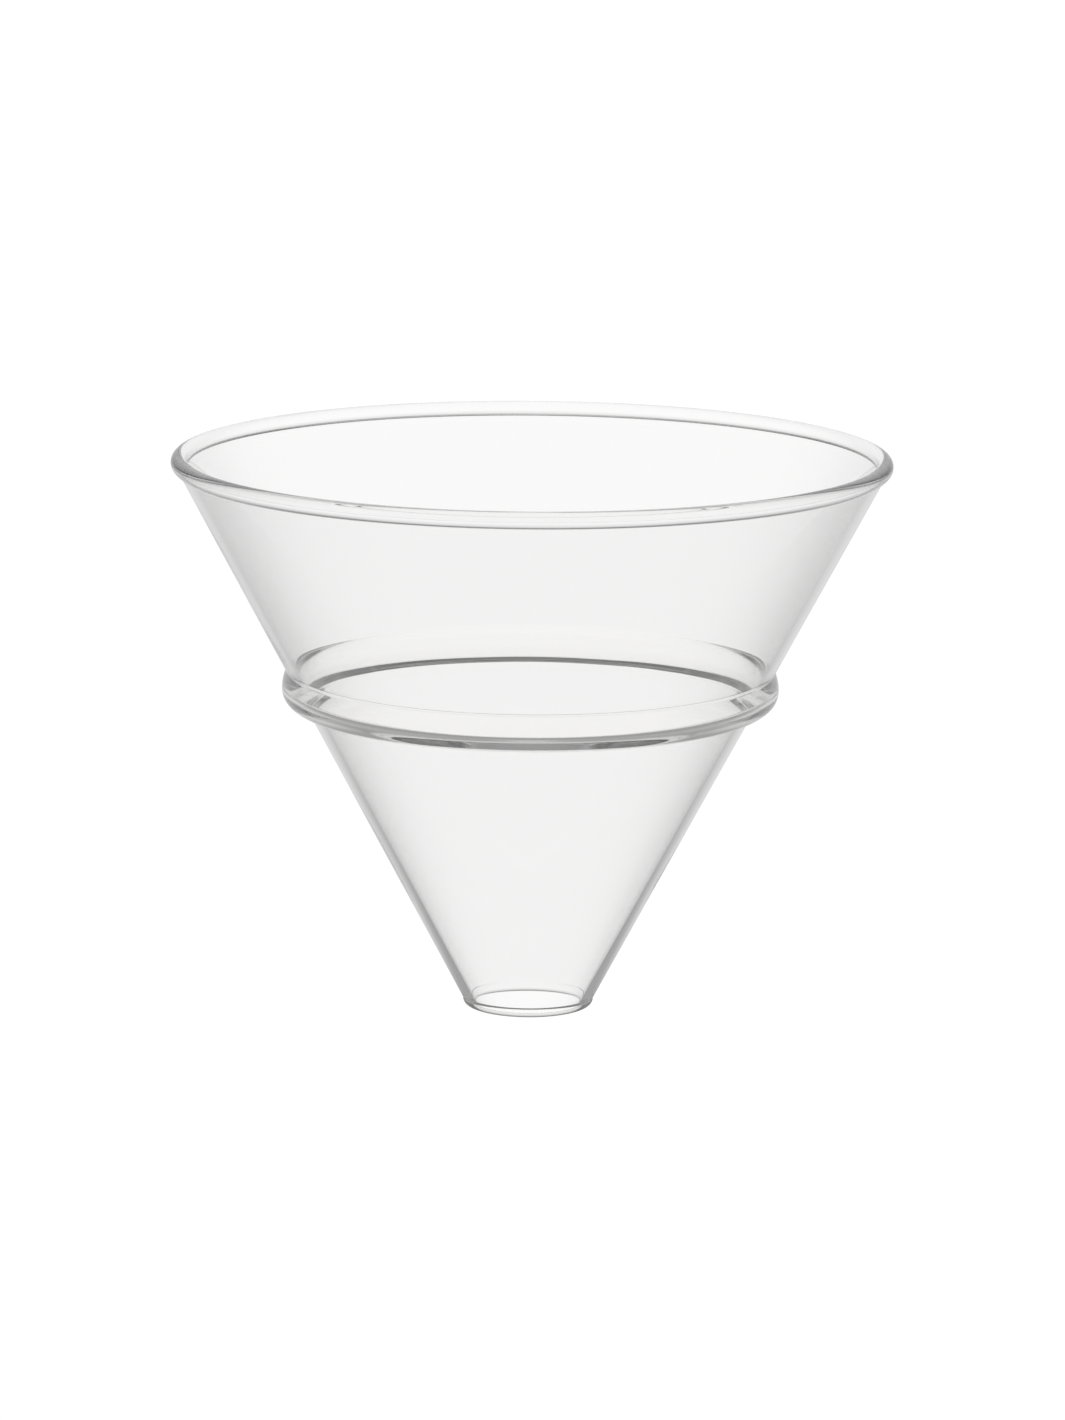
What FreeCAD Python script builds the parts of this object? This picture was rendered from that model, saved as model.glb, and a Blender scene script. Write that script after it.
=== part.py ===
# Conical glass pour over dripper.
#
# The body is one straight cone of even wall, rolled into a bead at the mouth, pushed out into a support
# ring at mid height and fire-polished into a lip at the outlet. Everything is turned about the Z axis.
# The origin is on that axis, in the plane that the outlet lip stands on, and +Z points up to the mouth.
#
# The wall's middle surface runs in a straight line from the centre of the lip's round section to the
# centre of the bead's round section, so the rim, the outlet and the height set the slope of the cone.

import FreeCAD
import Part
import Sketcher

import math
import os

doc = FreeCAD.newDocument("Dripper")

# ---------------------------------------------------------------------------------------------------
# Driving sizes, in millimetres
# ---------------------------------------------------------------------------------------------------

DRIVING_SIZES = [
    ("rim_diameter", 130.0, "outside diameter over the rim bead"),
    ("overall_height", 101.9, "outlet lip to the top of the rim bead"),
    ("outlet_diameter", 23.8, "outside diameter over the outlet lip"),
    ("wall", 1.65, "thickness of the conical wall, square to it"),
    ("bead_thickness", 3.0, "diameter of the rim bead's round section"),
    ("lip_thickness", 2.1, "diameter of the outlet lip's round section"),
    ("seat_height", 55.7, "outlet lip to the flat underside of the support ring"),
    ("seat_width", 1.1, "flat part of the ring's underside, outwards from the wall"),
    ("corner_radius", 3.2, "round from the flat underside to the ring's widest line"),
    ("shoulder_radius", 8.2, "round from the ring's widest line back to the wall"),
]

sizes = doc.addObject("Spreadsheet::Sheet", "Sizes")
for row, (alias, value, meaning) in enumerate(DRIVING_SIZES, start=1):
    sizes.set(f"A{row}", meaning)
    sizes.set(f"B{row}", str(value))
    sizes.setAlias(f"B{row}", alias)
doc.recompute()

# ---------------------------------------------------------------------------------------------------
# Sizes that follow from them: radii and heights of the points that the sections share
# ---------------------------------------------------------------------------------------------------

derived = doc.addObject("App::VarSet", "Derived")


def derive(name, formula):
    """Add one value that follows from the driving sizes or from values derived before it."""
    derived.addProperty("App::PropertyFloat", name, "Derived")
    derived.setExpression(name, formula)


# The two round sections that end the wall.
derive("bead_radius", "Sizes.bead_thickness / 2")
derive("bead_centre_radius", "Sizes.rim_diameter / 2 - bead_radius")
derive("bead_centre_height", "Sizes.overall_height - bead_radius")
derive("lip_radius", "Sizes.lip_thickness / 2")
derive("lip_centre_radius", "Sizes.outlet_diameter / 2 - lip_radius")
derive("lip_centre_height", "lip_radius")

# Slope is the radius gained per millimetre of height, and slant the length of wall for the same height.
derive("slope", "(bead_centre_radius - lip_centre_radius) / (bead_centre_height - lip_centre_height)")
derive("slant", "sqrt(1 + slope ^ 2)")
derive("half_wall", "Sizes.wall / 2")

# The wall enters each round section where the section is just as wide as the wall is thick.
derive("bead_reach", "sqrt(bead_radius ^ 2 - half_wall ^ 2)")
derive("lip_reach", "sqrt(lip_radius ^ 2 - half_wall ^ 2)")
derive("bead_inner_radius", "bead_centre_radius - (bead_reach * slope + half_wall) / slant")
derive("bead_inner_height", "bead_centre_height - (bead_reach - half_wall * slope) / slant")
derive("bead_outer_radius", "bead_centre_radius - (bead_reach * slope - half_wall) / slant")
derive("bead_outer_height", "bead_centre_height - (bead_reach + half_wall * slope) / slant")
derive("lip_inner_radius", "lip_centre_radius + (lip_reach * slope - half_wall) / slant")
derive("lip_inner_height", "lip_centre_height + (lip_reach + half_wall * slope) / slant")
derive("lip_outer_radius", "lip_centre_radius + (lip_reach * slope + half_wall) / slant")
derive("lip_outer_height", "lip_centre_height + (lip_reach - half_wall * slope) / slant")

# One step square through the wall, from its outside to its inside, goes inwards and up.
derive("step_in", "Sizes.wall / slant")
derive("step_up", "Sizes.wall * slope / slant")

# The wall where the support ring's flat underside meets it.
derive("seat_middle_radius", "lip_centre_radius + slope * (Sizes.seat_height - lip_centre_height)")
derive("seat_outer_radius", "seat_middle_radius + half_wall * slant")
derive("seat_inner_radius", "seat_outer_radius - step_in")
derive("seat_inner_height", "Sizes.seat_height + step_up")

# The ring's underside runs out to its flat edge and turns up round the corner to its widest line.
derive("seat_edge_radius", "seat_outer_radius + Sizes.seat_width")
derive("ring_radius", "seat_edge_radius + Sizes.corner_radius")
derive("widest_height", "Sizes.seat_height + Sizes.corner_radius")

# The shoulder's arc starts upright at the widest line and ends where it meets the wall's outside. The
# offset is how far the wall's outside lies from the arc's centre at the height of the widest line.
derive("shoulder_centre_radius", "ring_radius - Sizes.shoulder_radius")
derive("wall_at_widest", "seat_outer_radius + slope * Sizes.corner_radius")
derive("shoulder_offset", "wall_at_widest - shoulder_centre_radius")
derive("shoulder_root", "sqrt((Sizes.shoulder_radius * slant) ^ 2 - shoulder_offset ^ 2)")
derive("shoulder_rise", "(shoulder_root - shoulder_offset * slope) / slant ^ 2")
derive("shoulder_height", "widest_height + shoulder_rise")
derive("shoulder_outer_radius", "wall_at_widest + slope * shoulder_rise")
derive("shoulder_inner_radius", "shoulder_outer_radius - step_in")
derive("shoulder_inner_height", "shoulder_height + step_up")
doc.recompute()


def value_of(source):
    """Read one number: 'Sizes.x' from the sheet, or 'Derived.x' from the values that follow from it."""
    owner, name = source.split(".")
    return float(getattr(doc.getObject(owner), name))


# ---------------------------------------------------------------------------------------------------
# A turned piece: one closed section in the XZ plane, revolved about Z
# ---------------------------------------------------------------------------------------------------

ORIGIN_POINT = (-1, 1)
START_POINT = 1
END_POINT = 2
FULL_TURN = 360.0


def origin_plane(body, role):
    """Return the body's own origin plane with this role."""
    return next(feature for feature in body.Origin.OriginFeatures if feature.Role == role)


def arc_between(start, end, radius, centre):
    """Return the arc from start to end, turning anticlockwise about the centre."""
    start_angle = math.atan2(start.y - centre.y, start.x - centre.x)
    end_angle = math.atan2(end.y - centre.y, end.x - centre.x)
    circle = Part.Circle(centre, FreeCAD.Vector(0, 0, 1), radius)
    return Part.ArcOfCircle(circle, start_angle, end_angle)


def bind_length(sketch, kind, geometry, formula_source):
    """Add one dimension to the sketch and bind it to a named value."""
    index = sketch.addConstraint(Sketcher.Constraint(kind, *geometry, value_of(formula_source)))
    name = f"{kind}_{index}"
    sketch.renameConstraint(index, name)
    sketch.setExpression(f"Constraints.{name}", formula_source)


def turned_piece(label, corners, arcs):
    """Make one body from its section.

    corners lists the section's corners anticlockwise, each as the names of its radius and its height.
    arcs gives, for the edge that leaves a corner, the names of the arc's radius and of its centre's
    radius and height. Every other edge is straight.
    """
    body = doc.addObject("PartDesign::Body", label)
    body.Label = label
    sketch = body.newObject("Sketcher::SketchObject", label + "_section")
    sketch.AttachmentSupport = [(origin_plane(body, "XZ_Plane"), "")]
    sketch.MapMode = "FlatFace"

    points = [FreeCAD.Vector(value_of(radius), value_of(height), 0) for radius, height in corners]
    for index, point in enumerate(points):
        following = points[(index + 1) % len(points)]
        if index in arcs:
            arc_radius, centre_radius, centre_height = (value_of(source) for source in arcs[index])
            centre = FreeCAD.Vector(centre_radius, centre_height, 0)
            sketch.addGeometry(arc_between(point, following, arc_radius, centre), False)
        else:
            sketch.addGeometry(Part.LineSegment(point, following), False)

    for index, (radius, height) in enumerate(corners):
        following = (index + 1) % len(corners)
        joint = Sketcher.Constraint("Coincident", index, END_POINT, following, START_POINT)
        sketch.addConstraint(joint)
        corner_point = (*ORIGIN_POINT, index, START_POINT)
        bind_length(sketch, "DistanceX", corner_point, radius)
        bind_length(sketch, "DistanceY", corner_point, height)
    for index, (arc_radius, _, _) in arcs.items():
        bind_length(sketch, "Radius", (index,), arc_radius)

    turn = body.newObject("PartDesign::Revolution", label + "_turned")
    turn.Profile = sketch
    turn.ReferenceAxis = (sketch, ["V_Axis"])
    turn.Angle = FULL_TURN
    return body


# ---------------------------------------------------------------------------------------------------
# The five worked zones of the glass, from the mouth down
# ---------------------------------------------------------------------------------------------------

# Rim bead: a round section, cut square to the wall where the wall runs into it.
rim_bead = turned_piece(
    "rim_bead",
    corners=[
        ("Derived.bead_outer_radius", "Derived.bead_outer_height"),
        ("Derived.bead_inner_radius", "Derived.bead_inner_height"),
    ],
    arcs={0: ("Derived.bead_radius", "Derived.bead_centre_radius", "Derived.bead_centre_height")},
)

# Upper cone: the paper leans on its inside, from the bead down to the top of the support ring.
upper_cone = turned_piece(
    "upper_cone",
    corners=[
        ("Derived.shoulder_inner_radius", "Derived.shoulder_inner_height"),
        ("Derived.shoulder_outer_radius", "Derived.shoulder_height"),
        ("Derived.bead_outer_radius", "Derived.bead_outer_height"),
        ("Derived.bead_inner_radius", "Derived.bead_inner_height"),
    ],
    arcs={},
)

# Support ring: flat underside, round corner, widest line, then the shoulder back to the wall. Its
# inside carries the cone on without a step.
support_ring = turned_piece(
    "support_ring",
    corners=[
        ("Derived.seat_inner_radius", "Derived.seat_inner_height"),
        ("Derived.seat_outer_radius", "Sizes.seat_height"),
        ("Derived.seat_edge_radius", "Sizes.seat_height"),
        ("Derived.ring_radius", "Derived.widest_height"),
        ("Derived.shoulder_outer_radius", "Derived.shoulder_height"),
        ("Derived.shoulder_inner_radius", "Derived.shoulder_inner_height"),
    ],
    arcs={
        2: ("Sizes.corner_radius", "Derived.seat_edge_radius", "Derived.widest_height"),
        3: ("Sizes.shoulder_radius", "Derived.shoulder_centre_radius", "Derived.widest_height"),
    },
)

# Lower cone: the same wall below the ring, which hangs inside the server's mouth.
lower_cone = turned_piece(
    "lower_cone",
    corners=[
        ("Derived.lip_inner_radius", "Derived.lip_inner_height"),
        ("Derived.lip_outer_radius", "Derived.lip_outer_height"),
        ("Derived.seat_outer_radius", "Sizes.seat_height"),
        ("Derived.seat_inner_radius", "Derived.seat_inner_height"),
    ],
    arcs={},
)

# Outlet lip: a round section like the rim bead's, where the coffee leaves.
outlet_lip = turned_piece(
    "outlet_lip",
    corners=[
        ("Derived.lip_inner_radius", "Derived.lip_inner_height"),
        ("Derived.lip_outer_radius", "Derived.lip_outer_height"),
    ],
    arcs={0: ("Derived.lip_radius", "Derived.lip_centre_radius", "Derived.lip_centre_height")},
)

PIECES = [rim_bead, upper_cone, support_ring, lower_cone, outlet_lip]
doc.recompute()

# ---------------------------------------------------------------------------------------------------
# Check the whole document, then write one file for each piece
# ---------------------------------------------------------------------------------------------------

for item in doc.Objects:
    if "Invalid" in item.State or "Error" in item.State:
        raise RuntimeError(f"{item.Label} did not build: {item.State}")
for piece in PIECES:
    if piece.Shape.isNull() or not piece.Shape.isValid():
        raise RuntimeError(f"{piece.Label} has no valid shape")

os.makedirs("parts", exist_ok=True)
for piece in PIECES:
    piece.Shape.exportStep(f"parts/{piece.Label}.step")
    box = piece.Shape.optimalBoundingBox(False, False)
    print(
        f"{piece.Label}: {len(piece.Shape.Solids)} solid, {piece.Shape.Volume:.1f} mm3, "
        f"diameter {box.XLength:.2f}, from z {box.ZMin:.2f} to {box.ZMax:.2f}"
    )
print(f"ring diameter {2 * value_of('Derived.ring_radius'):.2f}")
print(f"wall outside diameter at the seat {2 * value_of('Derived.seat_outer_radius'):.2f}")
print(f"half angle of the cone {math.degrees(math.atan(value_of('Derived.slope'))):.2f} degrees")
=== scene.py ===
# %% Load the frame
import math

import bpy
import numpy as np
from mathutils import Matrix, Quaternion, Vector


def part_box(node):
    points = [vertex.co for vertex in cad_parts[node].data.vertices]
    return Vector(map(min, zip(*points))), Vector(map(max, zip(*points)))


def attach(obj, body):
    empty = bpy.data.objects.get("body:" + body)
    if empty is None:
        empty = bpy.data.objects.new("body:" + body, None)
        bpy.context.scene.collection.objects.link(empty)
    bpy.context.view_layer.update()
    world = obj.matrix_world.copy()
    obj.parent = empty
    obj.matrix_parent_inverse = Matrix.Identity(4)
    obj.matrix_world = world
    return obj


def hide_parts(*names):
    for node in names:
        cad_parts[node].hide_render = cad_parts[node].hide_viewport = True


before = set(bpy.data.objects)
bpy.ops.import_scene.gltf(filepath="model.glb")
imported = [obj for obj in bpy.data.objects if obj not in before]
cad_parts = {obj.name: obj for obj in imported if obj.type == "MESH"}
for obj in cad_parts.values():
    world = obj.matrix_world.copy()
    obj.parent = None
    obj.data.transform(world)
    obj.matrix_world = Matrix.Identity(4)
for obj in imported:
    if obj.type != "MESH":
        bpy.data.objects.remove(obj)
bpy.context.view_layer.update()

# %% [markdown]
# # A clear glass pour over dripper
#
# The real dripper is one piece of heat-resistant glass. A glassworker starts from a tube, opens it into a
# straight cone, rolls the mouth's edge into a bead, presses a support ring into the wall at mid height and
# fire-polishes the outlet. Nothing is glued or screwed on, so it is drawn here as one closed surface.
#
# Glass is a mirror and a lens at once, so most of what the eye sees of it is the room, bent. Two things
# decide whether it looks right: an exact, smooth wall with both of its faces, and light laid out for
# glass. Both are worked out below.

# %% [markdown]
# ## The sizes
#
# Heights and radii are read from the frame, so this surface can't drift away from the model that the
# checks ran on. The wall and the small blends aren't corners of any box, so they are named here.

# %% Sizes, in metres
MM = 0.001
WALL = 1.65 * MM
BEAD_THICKNESS = 3.0 * MM
LIP_THICKNESS = 2.1 * MM
BEAD_BLEND = 0.7 * MM
LIP_BLEND = 0.5 * MM

_, bead_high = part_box("rim_bead")
ring_low, ring_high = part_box("support_ring")
_, lip_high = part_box("outlet_lip")

rim_radius = bead_high.x
height = bead_high.z
ring_radius = ring_high.x
seat_height = ring_low.z
bead_radius = BEAD_THICKNESS / 2
lip_radius = LIP_THICKNESS / 2

bead_centre = np.array([rim_radius - bead_radius, height - bead_radius])
lip_centre = np.array([lip_high.x - lip_radius, lip_radius])
along = (bead_centre - lip_centre) / np.linalg.norm(bead_centre - lip_centre)
outward = np.array([along[1], -along[0]])
slope = along[0] / along[1]
print("rim %.2f mm, height %.2f mm, half angle %.2f degrees" % (
    2 * rim_radius / MM, height / MM, math.degrees(math.atan(slope))))

# %% [markdown]
# ## The outline
#
# The dripper is turned: cut it through its axis and the cut is the same all the way round. So its shape is
# one closed outline, given as pairs of radius and height. The outline is straight runs joined by arcs,
# and two small functions make all of it.
#
# A long straight run next to a tight arc would get a false sheen, because the smooth shading blends the
# directions of neighbouring faces. The runs are therefore cut into short steps, with one more point very
# close to each end that holds the shading flat right up to the arc.

# %% Arcs and straight runs
STEP = 1.25 * MM
HOLD = 0.03 * MM


def arc(centre, radius, start, end, steps):
    """Points of a circle's arc: centre + radius * (cos a, sin a), a running evenly from start to end."""
    a = np.linspace(start, end, steps + 1)[:, None]
    return np.asarray(centre) + radius * np.hstack([np.cos(a), np.sin(a)])


def run(start, end):
    """Inner points of a straight run: start + (end - start) * t, evenly spaced, and held near both ends."""
    start, end = np.asarray(start), np.asarray(end)
    length = np.linalg.norm(end - start)
    even = np.linspace(0, 1, max(1, round(length / STEP)) + 1)[1:-1]
    t = np.concatenate([[HOLD / length], even, [1 - HOLD / length]])[:, None]
    return start + (end - start) * t


def rounded(corners, steps=8):
    """Arcs that round a chain of corners, one row of points for each corner but the first and last.

    corners has one row (radius from the axis, height, rounding radius) for each corner. With u and v the
    directions to the neighbours and 2h the angle between them, the arc's centre lies rounding / sin h
    along the middle of the corner, and the arc touches both sides at rounding / tan h from it.
    """
    corners = np.asarray(corners)
    point, rounding = corners[1:-1, :2], corners[1:-1, 2:]
    u = corners[:-2, :2] - point
    v = corners[2:, :2] - point
    u = u / np.linalg.norm(u, axis=1, keepdims=True)
    v = v / np.linalg.norm(v, axis=1, keepdims=True)
    middle = (u + v) / np.linalg.norm(u + v, axis=1, keepdims=True)
    half = np.arccos(np.clip((u * v).sum(1, keepdims=True), -1, 1)) / 2
    centre = point + middle * rounding / np.sin(half)
    first = point + u * rounding / np.tan(half) - centre
    last = point + v * rounding / np.tan(half) - centre
    start = np.arctan2(first[:, 1:], first[:, :1])
    turn = (np.arctan2(last[:, 1:], last[:, :1]) - start + math.pi) % (2 * math.pi) - math.pi
    angle = start + turn * np.linspace(0, 1, steps + 1)
    return centre[:, None] + rounding[:, None] * np.stack([np.cos(angle), np.sin(angle)], -1)


print("straight runs are cut every %.2f mm" % (STEP / MM))

# %% [markdown]
# ## The two round ends
#
# Hot glass pulls itself round. At the mouth the edge gathers into a bead thicker than the wall, and at the
# outlet into a smaller lip. Both are the same shape at two sizes: a circle on the end of the wall, with a
# small hollow on each side where the surface runs off the circle and onto the wall.

# %% A round end on the wall
BEAD_STEPS = 34
LIP_STEPS = 26
HOLLOW_STEPS = 5


def round_end(centre, direction, radius, blend, steps):
    """Outline of a bead: a hollow arc off the wall, the circle, and a hollow arc back onto the wall.

    In the bead's own directions (s along the wall's end, t across it) a hollow's centre is at
    t = half wall + blend and lies radius + blend from the bead's centre, so
    s = -sqrt((radius + blend)^2 - (half wall + blend)^2).
    """
    half = WALL / 2
    s = -math.sqrt((radius + blend) ** 2 - (half + blend) ** 2)
    lean = math.atan2(half + blend, s)
    near = arc((s, half + blend), blend, -math.pi / 2, lean - math.pi, HOLLOW_STEPS)
    circle = arc((0, 0), radius, lean, -lean, steps)[1:-1]
    local = np.vstack([near, circle, near[::-1] * (1, -1)])
    direction = np.asarray(direction)
    across = np.array([-direction[1], direction[0]])
    return centre + local[:, :1] * direction + local[:, 1:] * across


rim = round_end(bead_centre, along, bead_radius, BEAD_BLEND, BEAD_STEPS)
lip = round_end(lip_centre, -along, lip_radius, LIP_BLEND, LIP_STEPS)
print("rim section", len(rim), "points, lip section", len(lip), "points")

# %% [markdown]
# ## The support ring
#
# The ring is pressed out of the hot wall with a forming tool, not stuck on. Outside it has a soft shoulder,
# a widest line and a rounded corner that turns in to the flat seat which rests on a server's mouth.
# Inside, the wall follows the push and leaves a shallow fold, steep at the bottom and easy at the top. Its
# steep bottom edge bends light hard, and draws the fine dark line round the inside of the ring.

# %% The ring's outside and its inner fold
SHOULDER_RADIUS = 8.2 * MM
CORNER_RADIUS = 3.2 * MM
NOTCH_BLEND = 0.35 * MM
SEAT_BLEND = 0.25 * MM
NOTCH_CLEAR = math.radians(2)
FOLD_BOTTOM = 56.2 * MM
FOLD_DEEPEST = 58.6 * MM
FOLD_TOP = 62.8 * MM
FOLD_RADIUS = 43.0 * MM
FOLD_BOTTOM_BLEND = 0.8 * MM
FOLD_DEEPEST_BLEND = 1.2 * MM
FOLD_TOP_BLEND = 2.0 * MM
SHOULDER_STEPS = 12
CORNER_STEPS = 18


def wall_radius(z, side):
    """Radius of the wall's face at height z: side is 1 for the outside, -1 for the inside.

    The middle of the wall leaves the lip's centre and widens by slope for each metre of height. A face is
    half a wall away from it, which measured level is half the wall times sqrt(1 + slope^2).
    """
    half = side * WALL / 2 * math.hypot(1, slope)
    return lip_centre[0] + slope * (z - lip_centre[1]) + half


# The shoulder's circle runs into the wall where rise, the height above the circle's centre, solves
# (offset + slope * rise)^2 + rise^2 = SHOULDER_RADIUS^2, with offset the wall's radius at that centre's
# height less the centre's own radius.
widest_height = seat_height + CORNER_RADIUS
shoulder_centre = ring_radius - SHOULDER_RADIUS
offset = wall_radius(widest_height, 1) - shoulder_centre
slant = math.hypot(1, slope)
rise = (math.sqrt((SHOULDER_RADIUS * slant) ** 2 - offset ** 2) - offset * slope) / slant ** 2
notch_height = widest_height + rise
notch = (wall_radius(notch_height, 1), notch_height)
lean = math.asin(rise / SHOULDER_RADIUS)
seat_root = (wall_radius(seat_height, 1), seat_height)
shoulder = arc((shoulder_centre, widest_height), SHOULDER_RADIUS, lean - NOTCH_CLEAR, 0, SHOULDER_STEPS)
corner_centre = (ring_radius - CORNER_RADIUS, widest_height)
corner = arc(corner_centre, CORNER_RADIUS, 0, -math.pi / 2, CORNER_STEPS)
notch_arc = rounded([(*rim[-1], 0), (*notch, NOTCH_BLEND), (*shoulder[0], 0)])[0]
seat_arc = rounded([(*corner[-1], 0), (*seat_root, SEAT_BLEND), (*lip[0], 0)])[0]
ring_outside = np.vstack([notch_arc, shoulder, corner[1:], run(corner[-1], seat_arc[0]), seat_arc])

fold = rounded([
    (*lip[-1], 0),
    (wall_radius(FOLD_BOTTOM, -1), FOLD_BOTTOM, FOLD_BOTTOM_BLEND),
    (FOLD_RADIUS, FOLD_DEEPEST, FOLD_DEEPEST_BLEND),
    (wall_radius(FOLD_TOP, -1), FOLD_TOP, FOLD_TOP_BLEND),
    (*rim[0], 0),
]).reshape(-1, 2)
print("ring %.2f mm across, notch at %.2f mm, fold deepest at %.2f mm" % (
    2 * ring_radius / MM, notch_height / MM, FOLD_DEEPEST / MM))

# %% [markdown]
# ## One closed outline, turned round the axis
#
# Going up the inside, over the rim, down the outside, round the ring and under the lip closes the outline.
# Every point of the surface is then a function of two parameters: where it is along the outline, and the
# angle round the axis.
#
# Hand-worked glass isn't perfectly turned. The tool that presses the ring leaves ripples of a few
# hundredths of a millimetre round its inside, and the cone itself wavers by less. These are far too small
# to see as shape, but they break up the bent light into streaks, which is how the eye knows blown glass
# from moulded plastic.

# %% The outline and its ripples
outline = np.vstack([
    run(lip[-1], fold[0]), fold, run(fold[-1], rim[0]),
    rim, run(rim[-1], ring_outside[0]),
    ring_outside, run(ring_outside[-1], lip[0]), lip,
])
SEGMENTS = 300
RIPPLE = 0.02 * MM
WAVER = 0.012 * MM
RIPPLE_REACH = 2.6 * MM
RIPPLE_TWIST = 30
WAVER_TWIST = 9
RIPPLE_WAVES = np.arange(9, 60, 5)
WAVER_WAVES = np.arange(3, 17)
RIPPLE_SEED = 3
WAVER_SEED = 8


def ripples(angle, waves, seed):
    """Sum of cosines with whole numbers of waves round the axis, so that it closes on itself.

    Each wave has its own seeded strength and phase, and the sum is scaled to lie between -1 and 1.
    """
    draw = np.random.default_rng(seed)
    strength = draw.uniform(0.4, 1, len(waves))
    phase = draw.uniform(0, 2 * math.pi, len(waves))
    total = (strength * np.cos(angle[..., None] * waves + phase)).sum(-1)
    return total / strength.sum()


def turned(points, segments):
    """Grid of points (radius cos a, radius sin a, height), for each outline point and each angle a.

    The radius is the outline's, less the ripple near the fold and the waver of the whole cone.
    """
    radius, z = points[:, :1], points[:, 1:]
    angle = np.linspace(0, 2 * math.pi, segments, endpoint=False)[None]
    inside = radius < wall_radius(z, 0)
    near = np.exp(-((z - FOLD_DEEPEST) / RIPPLE_REACH) ** 2) * inside
    turn = angle + RIPPLE_TWIST * (z - FOLD_DEEPEST)
    ripple = RIPPLE * near * ripples(turn, RIPPLE_WAVES, RIPPLE_SEED)
    waver = WAVER * (ripples(angle + WAVER_TWIST * z, WAVER_WAVES, WAVER_SEED) - 1)
    radius = radius + ripple + waver
    return np.stack([radius * np.cos(angle), radius * np.sin(angle), z + 0 * angle], -1)


print("outline", len(outline), "points;", 2 * len(outline) * SEGMENTS, "triangles")

# %% [markdown]
# ## From the grid to a mesh
#
# The grid of points closes on itself both ways, like a tyre, so every point has a neighbour on each side
# and no edge is left open. Glass needs that: light has to go in through one face and out through another.
# The enclosed volume checks it, and its sign tells whether the faces look outward.

# %% Put the surface into a mesh
def closed_tube(name, grid):
    """Mesh of a grid that closes on itself both ways, like a tyre: row to row and angle to angle."""
    rows, columns = grid.shape[:2]
    row, column = np.meshgrid(np.arange(rows), np.arange(columns), indexing="ij")
    next_row, next_column = (row + 1) % rows, (column + 1) % columns
    corners = [(row, column), (next_row, column), (next_row, next_column), (row, next_column)]
    faces = np.stack([r * columns + c for r, c in corners], -1).reshape(-1, 4)
    mesh = bpy.data.meshes.new(name)
    mesh.from_pydata(grid.reshape(-1, 3).tolist(), [], faces.tolist())
    mesh.polygons.foreach_set("use_smooth", np.ones(len(faces), bool))
    mesh.validate()
    mesh.update()
    piece = bpy.data.objects.new(name, mesh)
    bpy.context.scene.collection.objects.link(piece)
    return piece


dripper = closed_tube("glass_dripper", turned(outline, SEGMENTS))


def enclosed_volume(mesh):
    """Volume inside the faces: the sum of (face centre . face normal) * face area / 3."""
    values = {}
    for name, width in (("center", 3), ("normal", 3), ("area", 1)):
        values[name] = np.empty(len(mesh.polygons) * width)
        mesh.polygons.foreach_get(name, values[name])
    centre, normal = values["center"].reshape(-1, 3), values["normal"].reshape(-1, 3)
    return float(((centre * normal).sum(1) * values["area"]).sum() / 3)


volume = enclosed_volume(dripper.data)
if volume < 0:
    dripper.data.flip_normals()
print("glass volume %.1f cm3" % (abs(volume) * 1e6))
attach(dripper, "root")
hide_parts("rim_bead", "upper_cone", "support_ring", "lower_cone", "outlet_lip")

# %% [markdown]
# ## Shader sums as Python sums
#
# A finish is a small graph of nodes. Wrapping each socket in a class that knows plus, minus and times lets
# the graph be written the way it would be written on paper.

# %% A socket that can be reckoned with
class Value:
    """A number in a shader graph. Adding to it, multiplying it or taking it from a number adds a Math node."""

    def __init__(self, graph, socket):
        self.graph, self.socket = graph, socket

    def __add__(self, other):
        return self.graph.maths("ADD", self, other)

    def __rsub__(self, other):
        return self.graph.maths("SUBTRACT", other, self)

    def __mul__(self, other):
        return self.graph.maths("MULTIPLY", self, other)

    __rmul__ = __mul__


class Graph:
    """One node tree, with a single way to add a node."""

    def __init__(self, tree):
        self.tree = tree
        tree.nodes.clear()

    def node(self, kind, settings=None, inputs=None, output=0):
        """Add a node, set it up, fill its sockets with numbers or links, and return one output."""
        made = self.tree.nodes.new(kind)
        for name, setting in (settings or {}).items():
            setattr(made, name, setting)
        for name, value in (inputs or {}).items():
            if isinstance(value, Value):
                self.tree.links.new(value.socket, made.inputs[name])
            else:
                made.inputs[name].default_value = value
        if len(made.outputs) == 0:
            return made
        return Value(self, made.outputs[output])

    def maths(self, operation, *values):
        """A Math node on one or two numbers or Values."""
        return self.node("ShaderNodeMath", {"operation": operation}, dict(enumerate(values)))

    def fade(self, value, low, high, from_value=0.0, to_value=1.0):
        """Smooth step of a Value: from_value below low, to_value above high."""
        return self.node(
            "ShaderNodeMapRange",
            {"interpolation_type": "SMOOTHSTEP"},
            {"Value": value, "From Min": low, "From Max": high, "To Min": from_value, "To Max": to_value},
        )


print("sums on a Value: v + n, n - v, v * n, n * v")

# %% [markdown]
# ## Borosilicate glass
#
# Lab and coffee glass bends light with an index of 1.474 and is almost colourless. Seen edge on, or where
# it is thick as in the ring, it turns faintly grey. The surface is fire-polished: mirror smooth, with
# a very low, long waver from being worked by hand, and a slightly duller band where the cold forming tool
# touched the ring.

# %% The glass
GLASS_INDEX = 1.474
CLEAR_TINT = (0.990, 0.987, 0.986, 1)
THICK_TINT = (0.972, 0.972, 0.962, 1)
TINT_STARTS = (seat_height - 1.5 * MM, seat_height + 0.5 * MM)
TINT_ENDS = (notch_height - 2 * MM, notch_height + 1 * MM)
WAVER_SCALE = 38.0
WAVER_ROUGHNESS = 0.4
WAVER_STRENGTH = 0.12
WAVER_DEPTH = 0.6 * MM
SHINE_SCALE = 160.0
TOOL_DULLNESS = 0.03


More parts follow.
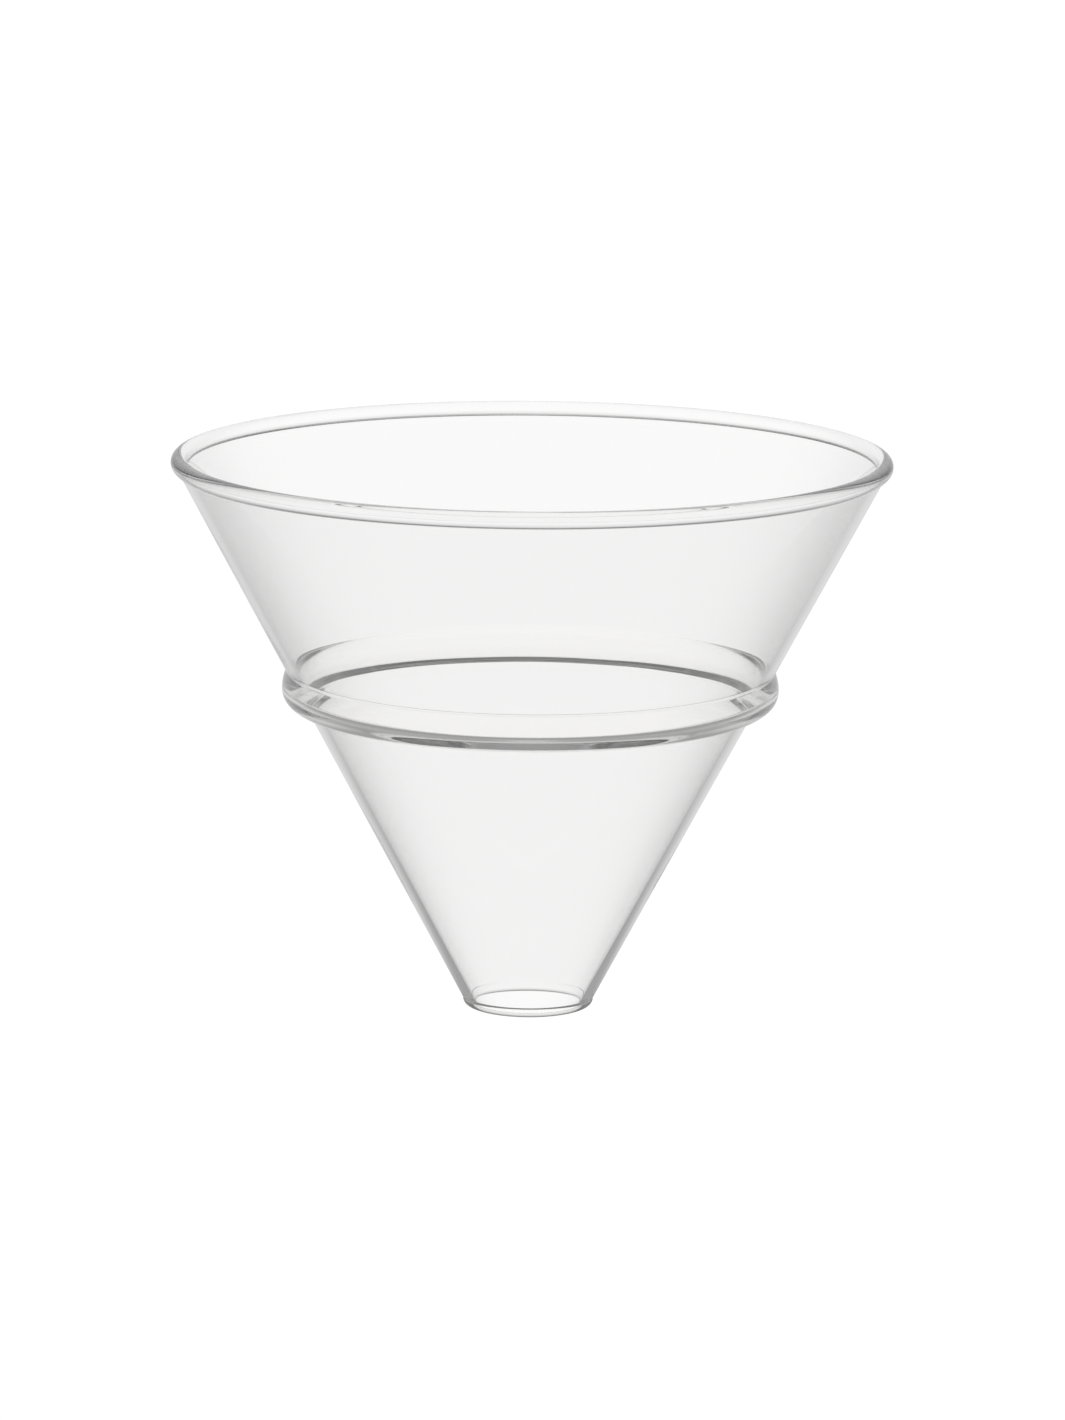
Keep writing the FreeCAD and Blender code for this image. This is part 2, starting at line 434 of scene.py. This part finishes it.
def glass():
    """Clear glass: its tint follows the height of the thick ring, its normal a low waver."""
    material = bpy.data.materials.new("borosilicate_glass")
    material.use_nodes = True
    graph = Graph(material.node_tree)
    place = graph.node("ShaderNodeTexCoord", output="Object")
    z = graph.node("ShaderNodeSeparateXYZ", inputs={0: place}, output="Z")
    below = graph.fade(z, *TINT_STARTS)
    above = graph.fade(z, *TINT_ENDS)
    in_ring = below * (1 - above)
    tint = graph.node(
        "ShaderNodeMix", {"data_type": "RGBA"},
        {"Factor": in_ring, 6: CLEAR_TINT, 7: THICK_TINT}, output=2,
    )
    long_waver = graph.node("ShaderNodeTexNoise", {}, {
        "Vector": place, "Scale": WAVER_SCALE, "Detail": 1.0, "Roughness": WAVER_ROUGHNESS,
    })
    bump = graph.node(
        "ShaderNodeBump", {}, {"Strength": WAVER_STRENGTH, "Distance": WAVER_DEPTH, "Height": long_waver},
    )
    shine = graph.node("ShaderNodeTexNoise", {}, {"Vector": place, "Scale": SHINE_SCALE, "Detail": 2.0})
    roughness = in_ring * shine * TOOL_DULLNESS
    surface = graph.node("ShaderNodeBsdfPrincipled", {}, {
        "Base Color": tint, "Roughness": roughness, "Normal": bump,
        "IOR": GLASS_INDEX, "Transmission Weight": 1.0,
    })
    graph.node("ShaderNodeOutputMaterial", inputs={"Surface": surface})
    return material


dripper.data.materials.append(glass())
print("finish:", dripper.data.materials[0].name)

# %% [markdown]
# ## The studio
#
# Clear glass is lit from behind. A bright white backdrop and a white table shine through it, and the glass
# shows as a darker drawing on them. Past the backdrop's sides the room is a pale grey, and overhead it is
# darker, so the edges and beads of the glass, which bend light sideways and up, pick those greys up.
#
# In a real studio, dark cards out of view draw the edges: glass mirrors the cards, while the eye looks
# past them at the white. Here the cards are left out, and the room and the table are dimmer for light
# that a face of the glass has mirrored. The Light Path node's count of mirrored bounces tells which light
# that is. It is a shortcut of the lighting, not of the glass, whose finish doesn't use it. Light that runs
# round inside the ring is mirrored many times, so the bounce limits are high, or the ring would go black.

# %% The room
WHITE = 1.03
DIM = 0.36
BACKDROP_HEIGHTS = (-0.1, 0.6)
CEILING_HEIGHTS = (0.3, 0.75)
SIDE_START = math.radians(24)
SIDE_END = math.radians(48)
MIRRORED_BRIGHT = 0.72
CEILING = 0.25
SIDE_BRIGHT = 0.65
ROOM_CARDS = (5, 45)
TABLE_CARDS = (20, 65)


def bearing_of(graph, x, y):
    """Angle round the Z axis from straight behind the object, without its sign."""
    return graph.maths("ABSOLUTE", graph.maths("ARCTAN2", x, y))


def seen_in(graph, brightness, bearing, cards):
    """Brightness seen straight or through the glass, and a dimmer one once a face has mirrored it.

    cards holds two bearings in degrees, between which the mirrored light falls to DIM.
    """
    near, far = cards
    mirrored = graph.maths("MINIMUM", graph.node("ShaderNodeLightPath", output="Glossy Depth"), 1.0)
    reflected = graph.fade(bearing, math.radians(near), math.radians(far), MIRRORED_BRIGHT, DIM)
    return brightness * (1 - mirrored) + mirrored * reflected


def room():
    """World light by direction: white behind the object, pale grey elsewhere, and darker overhead.

    A height here is the Z of a direction of length 1, so 0 is level and 1 is straight up.
    """
    world = bpy.data.worlds.new("studio")
    bpy.context.scene.world = world
    world.use_nodes = True
    graph = Graph(world.node_tree)
    direction = graph.node("ShaderNodeTexCoord", output="Generated")
    x = graph.node("ShaderNodeSeparateXYZ", inputs={0: direction}, output="X")
    y = graph.node("ShaderNodeSeparateXYZ", inputs={0: direction}, output="Y")
    z = graph.node("ShaderNodeSeparateXYZ", inputs={0: direction}, output="Z")
    bearing = bearing_of(graph, x, y)
    backdrop = graph.fade(bearing, SIDE_START, SIDE_END, 1.0, 0.0)
    low = graph.fade(z, *BACKDROP_HEIGHTS, 1.0, 0.0)
    ceiling = graph.fade(z, *CEILING_HEIGHTS, 1.0, CEILING)
    straight = backdrop * low * (WHITE - SIDE_BRIGHT) + SIDE_BRIGHT
    shade = seen_in(graph, straight, bearing, ROOM_CARDS) * ceiling
    light = graph.node("ShaderNodeBackground", inputs={"Color": shade, "Strength": 1.0})
    graph.node("ShaderNodeOutputWorld", inputs={"Surface": light})


# %% [markdown]
# ## The table
#
# The table is a white glowing disc, wide enough that its edge is far behind the glass. It could be a lit
# sheet of paper, but a glowing one keeps the same white right up to the outlet, with no shadow under it.

# %% The table
FLOOR_RADIUS = 4.0
FLOOR_RINGS = 24
FLOOR_SEGMENTS = 96


def floor():
    """Round floor: points (r cos a, r sin a, 0), with r growing as the square of the ring's number."""
    r = FLOOR_RADIUS * np.linspace(0, 1, FLOOR_RINGS + 1)[1:, None] ** 2
    a = np.linspace(0, 2 * math.pi, FLOOR_SEGMENTS, endpoint=False)[None]
    grid = np.stack([r * np.cos(a), r * np.sin(a), 0 * r * a], -1).reshape(-1, 3)
    row, column = np.meshgrid(np.arange(FLOOR_RINGS - 1), np.arange(FLOOR_SEGMENTS), indexing="ij")
    following = (column + 1) % FLOOR_SEGMENTS
    faces = np.stack([
        row * FLOOR_SEGMENTS + column, (row + 1) * FLOOR_SEGMENTS + column,
        (row + 1) * FLOOR_SEGMENTS + following, row * FLOOR_SEGMENTS + following,
    ], -1).reshape(-1, 4).tolist()
    mesh = bpy.data.meshes.new("floor")
    mesh.from_pydata(grid.tolist(), [], faces + [list(range(FLOOR_SEGMENTS))])
    mesh.update()
    plane = bpy.data.objects.new("floor", mesh)
    bpy.context.scene.collection.objects.link(plane)
    material = bpy.data.materials.new("white_table")
    material.use_nodes = True
    graph = Graph(material.node_tree)
    place = graph.node("ShaderNodeTexCoord", output="Object")
    x = graph.node("ShaderNodeSeparateXYZ", inputs={0: place}, output="X")
    y = graph.node("ShaderNodeSeparateXYZ", inputs={0: place}, output="Y")
    shade = seen_in(graph, WHITE, bearing_of(graph, x, y), TABLE_CARDS)
    surface = graph.node("ShaderNodeEmission", inputs={"Color": shade, "Strength": 1.0})
    graph.node("ShaderNodeOutputMaterial", inputs={"Surface": surface})
    mesh.materials.append(material)


print("table %.0f m across" % (2 * FLOOR_RADIUS))

# %% [markdown]
# ## Switch the studio on
#
# The Standard view shows a brightness as it is, so the backdrop stays a clean white. The bounce limits are
# raised here, for the light that runs round inside the ring.

# %% Switch the studio on
room()
floor()
bpy.context.scene.view_settings.view_transform = "Standard"
BOUNCES = 96
cycles = bpy.context.scene.cycles
cycles.max_bounces = BOUNCES
cycles.transmission_bounces = BOUNCES
cycles.glossy_bounces = BOUNCES
print("backdrop %.2f, sides %.2f, up to %d bounces" % (WHITE, SIDE_BRIGHT, BOUNCES))

# %% [markdown]
# ## The camera
#
# A long lens from a little over a metre keeps the two ends of the cone in proportion. The camera looks
# down a little, so the mouth shows as a narrow ellipse.

# %% Camera
IMAGE_HEIGHT = 1420
CAMERA_DISTANCE = 1.0895
CAMERA_ELEVATION = math.radians(11.50)
CAMERA_ROLL = math.radians(0.452)
FOCAL_LENGTH = 152.11
SENSOR_WIDTH = 36
FAR_END = 50
SHIFT_RIGHT = 2.34 / IMAGE_HEIGHT
SHIFT_UP = 4.94 / IMAGE_HEIGHT
TARGET = Vector((0, 0, 53.8 * MM))

view = bpy.data.cameras.new("camera")
camera = bpy.data.objects.new("camera", view)
bpy.context.scene.collection.objects.link(camera)
towards = Vector((0, math.cos(CAMERA_ELEVATION), -math.sin(CAMERA_ELEVATION)))
camera.location = TARGET - CAMERA_DISTANCE * towards
camera.rotation_mode = "QUATERNION"
camera.rotation_quaternion = Quaternion(towards, -CAMERA_ROLL) @ towards.to_track_quat("-Z", "Y")
view.lens = FOCAL_LENGTH
view.sensor_width = SENSOR_WIDTH
view.shift_x = SHIFT_RIGHT
view.shift_y = SHIFT_UP
view.clip_end = FAR_END
bpy.context.scene.camera = camera
print("camera %.2f m away" % CAMERA_DISTANCE)
